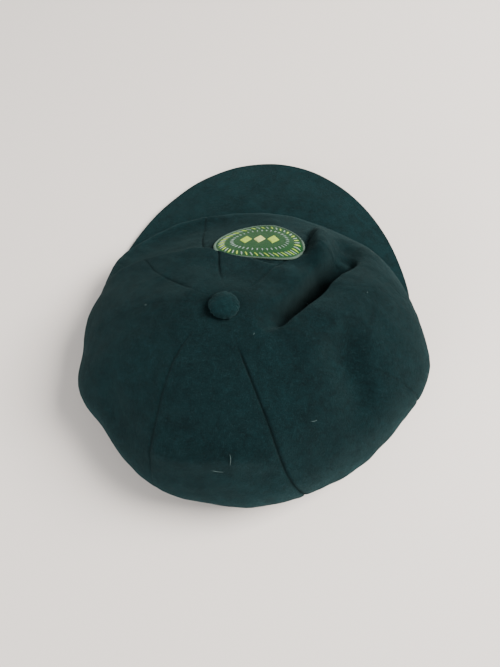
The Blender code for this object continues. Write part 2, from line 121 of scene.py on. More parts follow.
def through(values, at, periodic=False):
    """A smooth curve through evenly spaced values, read at places from 0 to the last one."""
    values = np.asarray(values, float)
    count = len(values)
    low = np.floor(at).astype(int)
    if not periodic:
        low = np.clip(low, 0, count - 2)
    part = at - low

    def pick(k):
        if periodic:
            return values[k % count]
        inside = values[np.clip(k, 0, count - 1)]
        before = np.where(k < 0, values[0] - values[1], 0.0)
        after = np.where(k > count - 1, values[-1] - values[-2], 0.0)
        return inside + before + after

    p0, p1, p2, p3 = (pick(low + k) for k in (-1, 0, 1, 2))
    return p1 + 0.5 * part * (
        p2 - p0 + part * (2 * p0 - 5 * p1 + 4 * p2 - p3 + part * (3 * (p1 - p2) + p3 - p0))
    )


def beside(x, y, route, per_span=10):
    """Signed distance to the left of a route, how far along it 0 to 1, and the direction left."""
    route = np.asarray(route, float)
    at = np.linspace(0, len(route) - 1, (len(route) - 1) * per_span + 1)
    points = np.stack([through(route[:, axis], at) for axis in (0, 1)], axis=1)
    steps = np.gradient(points, axis=0)
    steps /= np.linalg.norm(steps, axis=1, keepdims=True)
    px, py = np.ravel(x), np.ravel(y)
    near = np.empty(len(px), int)
    for start in range(0, len(px), 20000):
        part = slice(start, start + 20000)
        gap = (px[part, None] - points[:, 0]) ** 2 + (py[part, None] - points[:, 1]) ** 2
        near[part] = gap.argmin(axis=1)
    away = np.stack([px, py], axis=1) - points[near]
    ahead = steps[near]
    cross = ahead[:, 0] * away[:, 1] - ahead[:, 1] * away[:, 0]
    dot = (away * ahead).sum(axis=1)
    ends = (near == 0) & (dot < 0) | (near == len(points) - 1) & (dot > 0)
    distance = np.where(ends, np.sign(cross) * np.hypot(away[:, 0], away[:, 1]), cross)
    left = np.stack([-ahead[:, 1], ahead[:, 0]], axis=1)
    spacing = np.linalg.norm(np.diff(points, axis=0), axis=1).mean()
    along = np.clip((near + np.clip(dot / spacing, -0.5, 0.5)) / (len(points) - 1), 0, 1)
    shape = np.shape(x)
    return distance.reshape(shape), along.reshape(shape), left.reshape(*shape, 2)


def ends_fade(along, start=0.2, stop=0.2):
    """0 at a route's two ends, up to 1 within start and stop of its length."""
    return smooth_step(along / start) * smooth_step((1 - along) / stop)


def hump(distance, width):
    return np.exp(-((distance / width) ** 2))


# ---------------------------------------------------------------- the crown's shape

# Edge of the sunk front, left to right, with the sunk side on its left, and what it does at each
# point of that route: how far the cloth drops, and how far the standing part laps over the sunk one.
SUNK_EDGE = (
    (-112, -8), (-92, -4), (-70, 0), (-57, 3), (-46, 7), (-36, 7), (-18, 4), (2, 4),
    (20, 8), (38, 14), (52, 26), (66, 46), (78, 72),
)
SUNK_DROP = (2, 6, 7, 7, 7, 5, 3.5, 1.5, 0, 0, 0, 0, 0)
SUNK_LAP = (0, 3, 5, 5, 5, 5, 4, 1.6, 0, 0, 0, 0, 0)

# The deep fold from beside the button to the right front, its lip on the right lapping left.
DEEP_FOLD = (
    (7, -51), (17, -44), (26, -37), (34, -27), (41, -16), (46, -6), (52, 4), (60, 16), (62, 30),
)
DEEP_DROP = (0, 8, 20, 29, 31, 27, 17, 7, 0)
DEEP_LIP = (0, 1, 3, 4, 4, 4, 4, 3, 1)
DEEP_LAP = (0, 1, 3, 4, 4, 4, 3, 2, 0)
FRONT_TILT = 0.10

# Softer swells (+) and hollows (-): the route, the height in the middle, and the width.
STROKES = (
    (((35, 4), (35, 24), (34, 44), (33, 64)), 9.0, 7.5),
    (((13, 14), (21, 18), (26, 25), (27, 38), (28, 50), (29, 62)), -3.5, 2.4),
    (((52, 16), (55, 30), (49, 46)), -6.0, 8.0),
    (((58, 44), (69, 39), (80, 28)), 3.5, 8.0),
    (((46, -30), (57, -55), (66, -70), (74, -98)), -8.5, 12.0),
    (((38, -44), (43, -62)), 2.0, 9.0),
    (((-52, -118), (-36, -125), (-1, -122), (30, -117)), 4.5, 4.5),
    (((-50, -104), (-30, -110), (0, -108), (26, -104)), -1.8, 7.0),
    (((-84, -82), (-72, -104), (-53, -122)), -3.0, 7.0),
    (((-104, 4), (-100, -40)), 1.5, 7.0),
    (((-64, -14), (-40, -30)), -1.8, 9.0),
    (((6, 0), (24, -2), (36, 8)), 2.5, 9.0),
)
CLOTH_WAVES = ((52.0, 0.45), (21.0, 0.16), (8.0, 0.06))  # wavelength and height of the unevenness
SEAM_DEPTHS = (  # millimetres, by the button, in the middle and at the rim
    (0.7, 0.9, 0.8), (0.05, 0.10, 0.75), (0.1, 0.1, 0.2), (0.5, 0.3, 0.3),
    (1.1, 0.5, 0.6), (0.4, 0.30, 0.2), (0.12, 0.05, 0.03), (0.35, 0.40, 0.20),
)
FOLD_HALF = 5.0
RIM_STILL = 9  # the slump fades out this fast towards the rim

# Lint on the wool: place, length, direction in degrees and bend.
LINT = (
    (-0.4, -124.4, 6, 98, 0.7), (-2.4, -127.0, 13, 177, -0.5), (40, -94, 4, 20, 0.8),
    (-66, -41, 1.6, 10, 0.5), (1.7, -53, 1.6, 80, 0.4), (66, -9, 1.3, 60, 0.3), (30, -9, 1.2, 30, 0.3),
)
LINT_R = 0.15


def lap(distance, half, over):
    """How far cloth beside a fold slides left, so that the lip on the right covers the left."""
    amount = half + over / 2
    return -amount * (distance / half) * np.exp(0.5 * (1 - (distance / half) ** 2))


def by_point(values, along):
    return through(values, along * (len(values) - 1))


def trough(deep):
    """The deep fold's section, 0 to 1: a steep wall under the lip and a flat floor beside it."""
    floor = np.exp(-(((deep - 7.5) / np.where(deep > 7.5, 8.5, 6.5)) ** 4))
    return 0.85 * floor + 0.15 * hump(deep - 7.5, 22.0)


def slump(x, y):
    """The crown's folds: how far each place slides sideways, as (x, y), and how far it rises."""
    front, along, left = beside(x, y, SUNK_EDGE)
    rise = -9.0 * smooth_step((front + 45) / 50) - 6.5 * smooth_step(front / 50)
    rise -= by_point(SUNK_DROP, along) * smooth_step((front + 5) / 10)
    rise += FRONT_TILT * np.clip(x - BADGE_X, -40, 30) * smooth_step(front / 20)
    over = by_point(SUNK_LAP, along)
    slide = left * (lap(front, FOLD_HALF, over) * smooth_step(over / 3))[..., None]

    deep, along, left = beside(x, y, DEEP_FOLD)
    inside = (along > 0.001) & (along < 0.999)
    ends = np.where(inside, 1.0, hump(deep, 6.0))
    valley = trough(deep)
    rise -= by_point(DEEP_DROP, along) * valley * ends
    rise += by_point(DEEP_LIP, along) * hump(deep + 12, 11.0) * ends
    over = by_point(DEEP_LAP, along)
    slide += left * (lap(deep, FOLD_HALF, over) * smooth_step(over / 3) * ends)[..., None]

    for route, height, width in STROKES:
        distance, along, _ = beside(x, y, route)
        rise += height * hump(distance, width) * ends_fade(along, 0.35, 0.35)
    return slide, rise


def hem_outer():
    return HEAD_A + HEM_INSET + HEM_T, HEAD_B + HEM_INSET + HEM_T


def front_rise(angle):
    start = math.sin(math.radians(PEAK_END))
    return np.clip((np.sin(angle) - start) / (1 - start), 0.0, 1.0)


def crown_edge(angle):
    """Height of the crown's lower edge: at the hem's foot behind, and on the peak in front."""
    start = math.sin(math.radians(PEAK_END / 4))
    over = smooth_step((np.sin(angle) - start) / (math.sin(math.radians(PEAK_END)) - start))
    low, on_peak = 2.2, PEAK_INNER_Z + PEAK_HALF + 0.6
    return low + (on_peak - low) * over + FRONT_LIFT * front_rise(angle)


def seam_turn(panel, down):
    """Direction in degrees from the button, for a place counted in panels round and down."""
    seams = np.array(SEAMS, float)
    seams = np.vstack([seams, seams[0] + 360])
    station = np.clip(down, 0, 1) * 3
    low = np.clip(np.floor(panel).astype(int), 0, len(SEAMS) - 1)
    spread = np.stack([through(row, station) for row in seams])
    first = np.take_along_axis(spread, low[None], 0)[0]
    second = np.take_along_axis(spread, low[None] + 1, 0)[0]
    return first + (second - first) * (panel - low)


def rim_at(turn):
    """The rim's distance from the button in a direction, and its height."""
    far = through(RIM_RADII, (turn % 360) / 15, periodic=True)
    high = RIM_Z - FRONT_RIM_DROP * smooth_step((np.sin(np.radians(turn)) - 0.2) / 0.6)
    return far, high


def top_point(x, y, folded=True):
    """The crown's top over a place of the plan, with the slump's folds, as (x, y, z)."""
    turn = np.degrees(np.arctan2(y - BUTTON_Y, x - BUTTON_X))
    rim, low = rim_at(turn)
    radius = np.hypot(x - BUTTON_X, y - BUTTON_Y)
    out = np.clip(radius / rim, 0, 1)
    dome = (1 - out**DOME_PLAN_POWER) ** DOME_HEIGHT_POWER
    slide, rise = slump(x, y)
    still = (1 - out**RIM_STILL) * smooth_step(radius / 24)
    plan = np.stack([x, y], axis=-1)
    if folded:
        plan = plan + slide * still[..., None]
    z = low + (CROWN_TOP_Z - low) * dome + rise * still
    return np.concatenate([plan, z[..., None]], axis=-1)


def crown_point(panel, down, folded=True):
    """A place on the crown: down is 0 at the button, 1 at the rim and 2 at the lower edge."""
    panel = np.mod(panel, len(SEAMS))
    turn = seam_turn(panel, down)
    bend = np.clip(down, 0, 1) * math.pi / 2
    out = np.sin(bend) ** (2 / DOME_PLAN_POWER)
    rim, _ = rim_at(turn)
    angle = np.radians(turn)
    top = top_point(BUTTON_X + out * rim * np.cos(angle), BUTTON_Y + out * rim * np.sin(angle), folded)
    tuck = np.clip(down - 1, 0, 1) * math.pi / 2
    around = np.arctan2(top[..., 1] - BAND_Y, top[..., 0] - BAND_X)
    half_x, half_y = hem_outer()
    edge = np.stack([BAND_X + half_x * np.cos(around), BAND_Y + half_y * np.sin(around)], axis=-1)
    inward = (1 - np.cos(tuck))[..., None]
    plan = top[..., :2] + (edge - top[..., :2]) * inward
    z = top[..., 2] + (crown_edge(around) - top[..., 2]) * np.sin(tuck)
    return np.concatenate([plan, z[..., None]], axis=-1)


def surface_normal(points, closed):
    """Outward direction at each point of a grid of rows down and columns anticlockwise."""
    if closed:
        across = np.roll(points, -1, axis=1) - np.roll(points, 1, axis=1)
    else:
        across = np.gradient(points, axis=1)
    down = np.gradient(points, axis=0)
    normal = np.cross(down, across)
    return normal / np.maximum(np.linalg.norm(normal, axis=-1, keepdims=True), 1e-9)


def ripple(points, wavelength, seed, waves=14):
    """Smooth random unevenness over points in millimetres, about -1 to 1."""
    rng = np.random.default_rng(seed)
    ways = rng.normal(size=(waves, 3))
    ways *= rng.uniform(0.7, 1.4, (waves, 1)) / np.linalg.norm(ways, axis=1, keepdims=True)
    start = rng.uniform(0, math.tau, waves)
    turns = points @ ways.T * math.tau / wavelength + start
    return np.sin(turns).sum(axis=-1) * math.sqrt(2 / waves)


# ---------------------------------------------------------------- meshes


def link(name, mesh):
    made = bpy.data.objects.new(name, mesh)
    bpy.context.scene.collection.objects.link(made)
    return made


def grid_faces(rows, columns, closed):
    last = columns if closed else columns - 1
    i, j = np.meshgrid(np.arange(rows - 1), np.arange(last), indexing="ij")
    k = (j + 1) % columns
    corners = (i * columns + j, (i + 1) * columns + j, (i + 1) * columns + k, i * columns + k)
    return np.stack(corners, axis=-1).reshape(-1, 4).tolist()


def grid_piece(name, points, look, closed=False, caps=False, attributes=None):
    """A piece over a grid of points in millimetres, in rows. closed joins the last column to the first.

    caps closes the first and last rows with a point in their middles.
    """
    rows, columns = points.shape[:2]
    places = points.reshape(-1, 3)
    faces = grid_faces(rows, columns, closed)
    if caps:
        places = np.vstack([places, points[0].mean(axis=0), points[-1].mean(axis=0)])
        first, last = rows * columns, rows * columns + 1
        start = (rows - 1) * columns
        for j in range(columns):
            k = (j + 1) % columns
            faces.append((j, k, first))
            faces.append((start + k, start + j, last))
    mesh = bpy.data.meshes.new(name)
    mesh.from_pydata(((places + PLACE) * MM).tolist(), [], faces)
    mesh.shade_smooth()
    for key, values in (attributes or {}).items():
        layer = mesh.attributes.new(key, "FLOAT", "POINT")
        layer.data.foreach_set("value", np.ravel(values).astype(np.float32))
    mesh.materials.append(look)
    return link(name, mesh)


def many_piece(name, shapes, look):
    """One piece made of many small closed shapes, each (points, faces) in millimetres."""
    points, faces, count = [], [], 0
    for shape, its_faces in shapes:
        points.append(shape)
        faces.extend([[corner + count for corner in face] for face in its_faces])
        count += len(shape)
    mesh = bpy.data.meshes.new(name)
    mesh.from_pydata(((np.vstack(points) + PLACE) * MM).tolist(), [], faces)
    mesh.shade_smooth()
    mesh.materials.append(look)
    return link(name, mesh)


# ---------------------------------------------------------------- materials


class Look:
    """One node material, built up step by step."""

    def __init__(self, name, roughness=0.9, specular=0.25):
        self.material = bpy.data.materials.new(name)
        self.material.use_nodes = True
        self.tree = self.material.node_tree
        self.shader = self.tree.nodes["Principled BSDF"]
        self.shader.inputs["Roughness"].default_value = roughness
        self.shader.inputs["Specular IOR Level"].default_value = specular
        self.place = self.node("ShaderNodeTexCoord").outputs["Object"]

    def node(self, kind, sockets=None, **settings):
        made = self.tree.nodes.new(kind)
        for key, value in settings.items():
            setattr(made, key, value)
        for key, value in (sockets or {}).items():
            if isinstance(value, bpy.types.NodeSocket):
                self.tree.links.new(value, made.inputs[key])
            else:
                made.inputs[key].default_value = value
        return made

    def stretched(self, scale):
        return self.node("ShaderNodeVectorMath", {0: self.place, 1: scale}, operation="MULTIPLY").outputs[0]

    def noise(self, scale, detail=3.0, distortion=0.0, vector=None):
        sockets = {
            "Vector": vector or self.place, "Scale": scale, "Detail": detail, "Distortion": distortion,
        }
        return self.node("ShaderNodeTexNoise", sockets).outputs["Fac"]

    def bands(self, period, way="X", distortion=0.0, vector=None):
        """Thread-like bands, period metres apart."""
        sockets = {
            "Vector": vector or self.place, "Scale": math.tau / 20 / period, "Distortion": distortion,
            "Detail": 1.0, "Detail Scale": 3.0,
        }
        made = self.node("ShaderNodeTexWave", sockets, wave_type="BANDS", bands_direction=way)
        return made.outputs["Fac"]

    def span(self, value, low, high, to_low, to_high):
        sockets = {"Value": value, "From Min": low, "From Max": high, "To Min": to_low, "To Max": to_high}
        return self.node("ShaderNodeMapRange", sockets).outputs["Result"]

    def sum(self, *terms):
        """The sum of (socket, factor) pairs."""
        total = 0.0
        for value, factor in terms:
            step = self.node("ShaderNodeMath", {0: value, 1: factor, 2: total}, operation="MULTIPLY_ADD")
            total = step.outputs[0]
        return total

    def times(self, a, b):
        return self.node("ShaderNodeMath", {0: a, 1: b}, operation="MULTIPLY").outputs[0]

    def mix(self, factor, a, b):
        made = self.node("ShaderNodeMix", data_type="RGBA")
        for index, value in ((0, factor), (6, a), (7, b)):
            if isinstance(value, bpy.types.NodeSocket):
                self.tree.links.new(value, made.inputs[index])
            else:
                made.inputs[index].default_value = value
        return made.outputs[2]

    def shade(self, colour, amount):
        """A colour made darker or lighter by a factor."""
        return self.node("ShaderNodeVectorMath", {0: colour, 3: amount}, operation="SCALE").outputs[0]

    def colour(self, value):
        self.tree.links.new(value, self.shader.inputs["Base Color"])

    def bump(self, height, distance, strength=1.0):
        sockets = {"Height": height, "Distance": distance, "Strength": strength}
        made = self.node("ShaderNodeBump", sockets)
        self.tree.links.new(made.outputs["Normal"], self.shader.inputs["Normal"])

    def sheen(self, weight, roughness, tint):
        self.shader.inputs["Sheen Weight"].default_value = weight
        self.shader.inputs["Sheen Roughness"].default_value = roughness
        self.shader.inputs["Sheen Tint"].default_value = (*tint, 1)


def wool_look(name, base, nap, seams=False):
    """Brushed wool: clouded colour, short felted fibres, and a pale bloom at grazing angles. With seams it
    also paints shade into the seam grooves and the deep fold, and a highlight along the rim.
    """
    look = Look(name, roughness=0.97, specular=0.04)
    clouds = look.noise(22.0, 3.0, 0.4)
    marks = look.noise(150.0, 4.0, 0.8)
    tufts = look.noise(850.0, 3.0, 1.2)
    fibres = look.noise(2600.0, 2.0, 2.5)
    hairs = [look.noise(380.0, 2.0, 1.6, look.stretched(way)) for way in ((1, 4.5, 2), (4.5, 1, 2))]
    hair = look.sum(*((look.span(one, 0.58, 0.72, 0.0, 1.0), 0.24) for one in hairs))
    fleck = look.sum((look.span(fibres, 0.60, 0.78, 0.0, 0.25), 1.0), (hair, 1.0))
    tone = look.sum((clouds, 0.50), (marks, 0.90), (tufts, 0.80), (fibres, 0.35))
    tone = look.span(tone, 0.875, 1.675, 0.42, 1.65)
    if seams:
        # painted shade: the wool darkened along the seam grooves, the more the deeper the groove
        seam = look.node("ShaderNodeAttribute", attribute_name="seam").outputs["Fac"]
        tone = look.times(tone, look.span(seam, 0.0, 1.0, 1.0, 0.45))
        # painted shade: the wool darkened down in the deep fold
        fold = look.node("ShaderNodeAttribute", attribute_name="fold").outputs["Fac"]
        tone = look.times(tone, look.span(fold, 0.12, 0.62, 1.0, 0.18))
        # painted highlight: the wool lightened in a band along the rim, a little darker elsewhere
        painted_rim_highlight = look.node("ShaderNodeAttribute", attribute_name="painted_rim_highlight").outputs["Fac"]
        tone = look.times(tone, look.span(painted_rim_highlight, 0.0, 1.0, 0.88, 1.42))
    dark = (*base, 1)
    pale = (*(min(1, 3.2 * c + 0.012) for c in base), 1)
    look.colour(look.shade(look.mix(fleck, dark, pale), tone))
    height = look.sum((fibres, 0.35), (tufts, 0.65), (marks, nap))
    look.bump(height, 0.0010, 0.8)
    look.sheen(0.05, 0.6, (0.45, 0.80, 0.80))
    return look.material


def woven_look(name, base, period, roughness=0.85, depth=0.00012, ways=("X", "Y")):
    """A plain weave: two sets of threads that cross."""
    look = Look(name, roughness, 0.3)
    wander = look.noise(60.0, 2.0)
    over = look.bands(period, ways[0], 0.6)
    under = look.bands(period, ways[1], 0.6)
    weave = look.sum((over, 0.5), (under, 0.5))
    tone = look.sum((weave, 0.45), (wander, 0.5), (look.noise(1400.0, 2.0), 0.25))
    look.colour(look.shade((*base,), look.span(tone, 0.2, 1.0, 0.72, 1.22)))
    look.bump(weave, depth)
    look.sheen(0.15, 0.5, (1, 1, 1))
    return look.material


def thread_look(name, base, way="X", period=0.00042):
    """Satin stitch: glossy threads side by side."""
    look = Look(name, 0.62, 0.2)
    threads = look.bands(period, way, 1.2)
    tone = look.sum((threads, 0.55), (look.noise(700.0, 2.0), 0.45))
    look.colour(look.shade((*base,), look.span(tone, 0.15, 0.85, 0.66, 1.22)))
    look.bump(threads, 0.00018, 0.9)
    look.sheen(0.05, 0.5, (0.8, 1.0, 0.8))
    return look.material


def steel_look():
    look = Look("pressed_steel", 0.32, 0.5)
    grain = look.noise(300.0, 3.0, 0.0, look.stretched((1, 1, 14)))
    look.shader.inputs["Metallic"].default_value = 1.0
    look.colour(look.shade((0.62, 0.62, 0.60), look.span(grain, 0.3, 0.7, 0.85, 1.05)))
    rough = look.span(grain, 0.3, 0.7, 0.25, 0.42)
    look.tree.links.new(rough, look.shader.inputs["Roughness"])
    look.bump(grain, 0.00003)
    return look.material


def board_look():
    look = Look("peak_board_fibre", 0.7, 0.4)
    fibre = look.noise(500.0, 4.0, 1.5)
    look.colour(look.shade((0.55, 0.50, 0.42), look.span(fibre, 0.3, 0.7, 0.85, 1.1)))
    look.bump(fibre, 0.0001)
    return look.material


def floor_look():
    """A pale painted surface with the faintest unevenness."""
    look = Look("pale_floor", 0.55, 0.35)
    cloud = look.noise(3.0, 2.0)
    grain = look.noise(900.0, 2.0)
    tone = look.sum((cloud, 0.5), (grain, 0.12))
    look.colour(look.shade(FLOOR, look.span(tone, 0.2, 0.45, 0.985, 1.01)))
    look.bump(grain, 0.00005, 0.3)
    return look.material


# ---------------------------------------------------------------- the crown


def seam_places(count, close):
    """Shares across one panel, close together near its seams, without the last."""
    even = np.linspace(0, 1, count + 1)[:-1]
    return even - close * np.sin(2 * math.pi * even) / (2 * math.pi)


def crown_grid(across, top_rows, tuck_rows, close=0.72):
    share = seam_places(across, close)
    panel = np.concatenate([index + share for index in range(len(SEAMS))])
    down = np.concatenate([np.linspace(0.012, 1, top_rows), np.linspace(1, 2, tuck_rows + 1)[1:]])
    return np.meshgrid(panel, down)


def seam_distance(panel, down, points):
    """Millimetres across the cloth to the nearest seam, and that seam's number."""
    count = len(SEAMS)
    step = np.linalg.norm(points - np.roll(points, 1, axis=1), axis=-1)
    per_panel = points.shape[1] // count
    step = step.reshape(len(points), count, per_panel)
    from_first = np.cumsum(step, axis=2) - step[:, :, :1]
    whole = from_first[:, :, -1:] + np.roll(step[:, :, :1], -1, axis=1)
    to_next = whole - from_first
    near_next = to_next < from_first
    distance = np.where(near_next, to_next, from_first).reshape(points.shape[:2])
    number = np.floor(panel).astype(int).reshape(len(points), count, per_panel) + near_next
    return distance, (number % count).reshape(points.shape[:2])


def make_crown(look):
    """The eight wool panels as one sewn shell, with its seams, folds and unevenness, and marks that paint
    shade into its seam grooves and deep fold and a highlight along its rim.
    """
    panel, down = crown_grid(46, 168, 34)
    points = crown_point(panel, down)
    normal = surface_normal(points, True)
    seam, number = seam_distance(panel, down, points)
    rows = np.stack([through(row, np.clip(down, 0, 1)[:, 0] * 2) for row in SEAM_DEPTHS], axis=1)
    depth = np.take_along_axis(rows, number, axis=1)
    shown = smooth_step((down - 0.06) / 0.12)
    cloth = -depth * hump(seam, 0.9) + 0.35 * depth * hump(seam - 3.6, 2.8)
    plain = crown_point(panel, down, folded=False)
    deep, along, _ = beside(plain[..., 0], plain[..., 1], DEEP_FOLD)
    # painted shade: how far down the deep fold each place lies, to darken the wool there
    folds = trough(deep) * by_point(DEEP_DROP, along) / max(DEEP_DROP) * (down < 1) * (deep > 0)
    for index, (wavelength, height) in enumerate(CLOTH_WAVES):
        cloth += height * ripple(points, wavelength, SEED + index)
    points = points + normal * (cloth * shown)[..., None]
    # painted shade along the seam grooves, stronger where the groove is deeper
    dark = np.sqrt(depth) * hump(seam, 0.9) * shown
    # painted highlight: a band along the rim where the wool is made lighter
    rim_highlight = hump(down - 1, 0.17) * (1 + 0.25 * ripple(points, 30.0, SEED + 10))
    marks = {"seam": dark, "fold": folds, "painted_rim_highlight": rim_highlight}
    crown = grid_piece("crown_wool", points, look, closed=True, attributes=marks)
    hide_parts(*(f"crown_panel_{side}" for side in PANEL_SIDES))
    return crown


def make_lint(look):
    """Two loose threads and a few specks of lint lying on the wool."""
    rng = np.random.default_rng(SEED + 60)
    shapes = []
    for x, y, length, turn, bend in LINT:
        share = np.linspace(-0.5, 0.5, 12)
        heading = math.radians(turn) + bend * share
        step = length / len(share)
        line_x = x + np.cumsum(np.cos(heading)) * step
        line_y = y + np.cumsum(np.sin(heading)) * step
        spine = top_point(line_x, line_y)
        spine[:, 2] += 1.25 + 0.5 * rng.random() * np.sin((share + 0.5) * math.pi)
        shapes.append(fibre(spine, LINT_R))
    return many_piece("lint", shapes, look)


def fibre(spine, radius, sides=5):
    """A closed thin tube along a line of points, tapered at its ends."""
    ahead = np.gradient(spine, axis=0)
    ahead /= np.linalg.norm(ahead, axis=1, keepdims=True)
    aside = np.cross(ahead, (0.0, 0.0, 1.0))
    aside /= np.linalg.norm(aside, axis=1, keepdims=True)
    over = np.cross(aside, ahead)
    turn = np.linspace(0, math.tau, sides, endpoint=False)
    thick = radius * (0.35 + 0.65 * np.sin(np.linspace(0, math.pi, len(spine))))[:, None, None]
    around = aside[:, None] * np.cos(turn)[:, None] + over[:, None] * np.sin(turn)[:, None]
    points = spine[:, None] + around * thick
    faces = grid_faces(len(spine), sides, True)
    faces.append(list(range(sides)))
    faces.append([(len(spine) - 1) * sides + side for side in reversed(range(sides))])
    return points.reshape(-1, 3), faces


def make_lining(look):
    """Lining panels hanging just inside the wool."""
    panel, down = crown_grid(24, 70, 24, close=0.5)
    down = 0.018 + down * 0.982
    points = crown_point(panel, down, folded=False)
    inset = LINING_INSET * smooth_step((down - 0.4) / 0.4) * smooth_step((2 - down) / 0.6)
    points[..., 0] -= (points[..., 0] - BUTTON_X) * inset
    points[..., 1] -= (points[..., 1] - BUTTON_Y) * inset
    normal = surface_normal(points, True)
    seam, _ = seam_distance(panel, down, points)
    deep, _, _ = beside(points[..., 0], points[..., 1], DEEP_FOLD)
    front, along, _ = beside(points[..., 0], points[..., 1], SUNK_EDGE)
    inside = LINING_DEPTH + 0.7 * hump(seam, 2.0) + 0.35 * ripple(points, 24.0, SEED + 20)
    inside += 6.0 * hump(deep - 4, 15.0) * (down < 1)
    over = by_point(SUNK_LAP, along) / max(SUNK_LAP)
    inside += 8.0 * over * hump(front + 1, 11.0) * smooth_step((1 - down) / 0.25)
    points = points - normal * inside[..., None]
    wool = top_point(points[..., 0], points[..., 1], folded=False)[..., 2]
    points[..., 2] = np.minimum(points[..., 2], wool - LINING_GAP)
    lining = grid_piece("crown_lining", points, look, closed=True)
    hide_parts(*(f"lining_panel_{side}" for side in PANEL_SIDES))
    return lining


def make_button(look):
    """The covered button: cloth drawn over a low dome, with small gathers at its foot."""
    turn = np.linspace(0, math.tau, 120, endpoint=False)[None]
    rise = np.radians(np.concatenate([np.linspace(88, 0, 22), np.linspace(-8, -85, 8)]))[:, None]
    radius = BUTTON_R * np.cos(rise) ** 0.8 * np.ones_like(turn)
    height = np.where(rise > 0, BUTTON_H * np.sin(rise) ** 1.15, BUTTON_LIFT * np.sin(rise))
    height = height + BUTTON_LIFT
    points = np.stack([radius * np.cos(turn), radius * np.sin(turn), height * np.ones_like(turn)], -1)
    foot = smooth_step((radius / BUTTON_R - 0.72) / 0.28)
    gathers = np.sin(17 * turn + 1.5 * np.sin(3 * turn)) * (0.6 + 0.4 * np.sin(5 * turn + 1))
    outward = points / np.linalg.norm(points, axis=-1, keepdims=True)
    dent = -0.25 * hump(radius, 2.8) + 0.12 * ripple(points, 6.0, SEED + 30)
    points = points + outward * (0.28 * foot * gathers + dent)[..., None]
    points[..., 2] -= BUTTON_TILT * (points[..., 0] + points[..., 1])
    points = points + np.array([BUTTON_X, BUTTON_Y, CROWN_TOP_Z])
    button = grid_piece("button_cloth", points[::-1], look, closed=True, caps=True)
    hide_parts("button_cover")
    return button


# ---------------------------------------------------------------- the bands


def band_point(angle, depth, rise):
    """A place on the bands: depth outwards from the head, rise up from the band's lower edge."""
    lean = FRONT_LEAN * smooth_step((np.sin(angle) - 0.2) / 0.6)
    out = depth * np.cos(lean) - rise * np.sin(lean)
    up = SWEATBAND_LOW + rise * np.cos(lean) + depth * np.sin(lean)
    x = BAND_X + (HEAD_A + out) * np.cos(angle)
    y = BAND_Y + (HEAD_B + out) * np.sin(angle)
    return np.stack([x, y, up + FRONT_LIFT * front_rise(angle)], axis=-1)


def ring_profile(low, high, inner, outer, soft):
    """A rounded upright strip as (depth, height) points round its section."""
    middle, half = (inner + outer) / 2, (outer - inner) / 2
    turns = np.radians(np.linspace(0, 180, 7))
    top = [(middle + half * math.cos(t), high - soft + soft * math.sin(t)) for t in turns]
    bottom = [(middle - half * math.cos(t), low + soft - soft * math.sin(t)) for t in turns]
    rows = np.linspace(0, 1, 12)[1:-1]
    down = [(inner, high - soft + (low - high + 2 * soft) * share) for share in rows]
    up = [(outer, low + soft + (high - low - 2 * soft) * share) for share in rows]
    return np.array(top + down + bottom + up + top[:1])


def band_wave(angle, rise):
    """How far the sweatband leans in or out of line, more so towards its upper edge."""
    share = rise / SWEATBAND_WIDTH
    return 0.5 * share * (np.sin(7 * angle + 1) + 0.6 * np.sin(13 * angle)) - 0.5 * share


def make_strip(name, node, look, ends, section, gathers=0.0, follow=0.0):
    """A tape part way round the head, between two directions in degrees, that stands for a CAD node.

    section is its lower and upper edge and its two faces. gathers is the depth of its ruching, and
    follow how far it follows the sweatband's waves.
    """
    low, high, inner, outer = section
    start, stop = ends
    angle = np.radians(np.linspace(start, stop, int(3 * (stop - start)) + 1))[:, None]
    profile = ring_profile(low, high, inner, outer, min(0.4, (outer - inner) / 2))[-2::-1]
    depth, rise = profile[None, :, 0], profile[None, :, 1]
    ruched = gathers * np.sin(150 * angle + 1.2 * np.sin(0.5 * rise))
    points = band_point(angle, depth + ruched + follow * band_wave(angle, rise), rise + 0 * angle)
    strip = grid_piece(name, points, look, closed=True, caps=True)
    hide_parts(node)
    return strip


def make_label(look, thread):
    """The size label, blank, with a line of stitches along each of its ends."""
    low, high = LABEL_HEIGHTS
    section = (low, high, -LABEL_T - LABEL_OFF, -LABEL_OFF)
    label = make_strip("size_label_woven", "size_label", look, LABEL_ENDS, section, follow=1.0)
    stitches = []
    for end in LABEL_ENDS:
        inside = end + math.copysign(0.8, 270 - end)
        for rise in np.linspace(low + 0.8, high - 2.2, 8):
            heights = np.array([rise, rise + 1.1])
            angle = np.radians(np.full(2, inside))
            depth = -LABEL_T - LABEL_OFF - 0.1 + band_wave(angle, heights)
            stitches.append(stitch(band_point(angle, depth, heights), 0.16))
    return label, many_piece("size_label_stitches", stitches, thread)


def make_sweatband(look, thread):
    """The ribbed sweatband, a little wavy, with a row of stitches near its lower edge."""
    angle = np.linspace(0, math.tau, 480, endpoint=False)[None]
    profile = ring_profile(0, SWEATBAND_WIDTH, 0, SWEATBAND_T, 0.6)
    depth, rise = profile[:, :1], profile[:, 1:]
    ribs = 0.13 * np.sin(rise * math.tau / 1.6) * np.where(depth < 0.1, 1, 0)
    points = band_point(angle, depth - ribs + band_wave(angle, rise), rise + 0 * angle)
    band = grid_piece("sweatband_ribbed", points, look, closed=True)
    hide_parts("sweatband")
    stitches = []
    count = 210
    for index in range(count):
        start = (index + 0.15) * math.tau / count
        ends = np.array([start, start + 0.7 * math.tau / count])
        stitches.append(stitch(band_point(ends, np.array([-0.12, -0.12]), np.array([3.1, 3.1]))))
    row = many_piece("sweatband_stitches", stitches, thread)
    return band, row


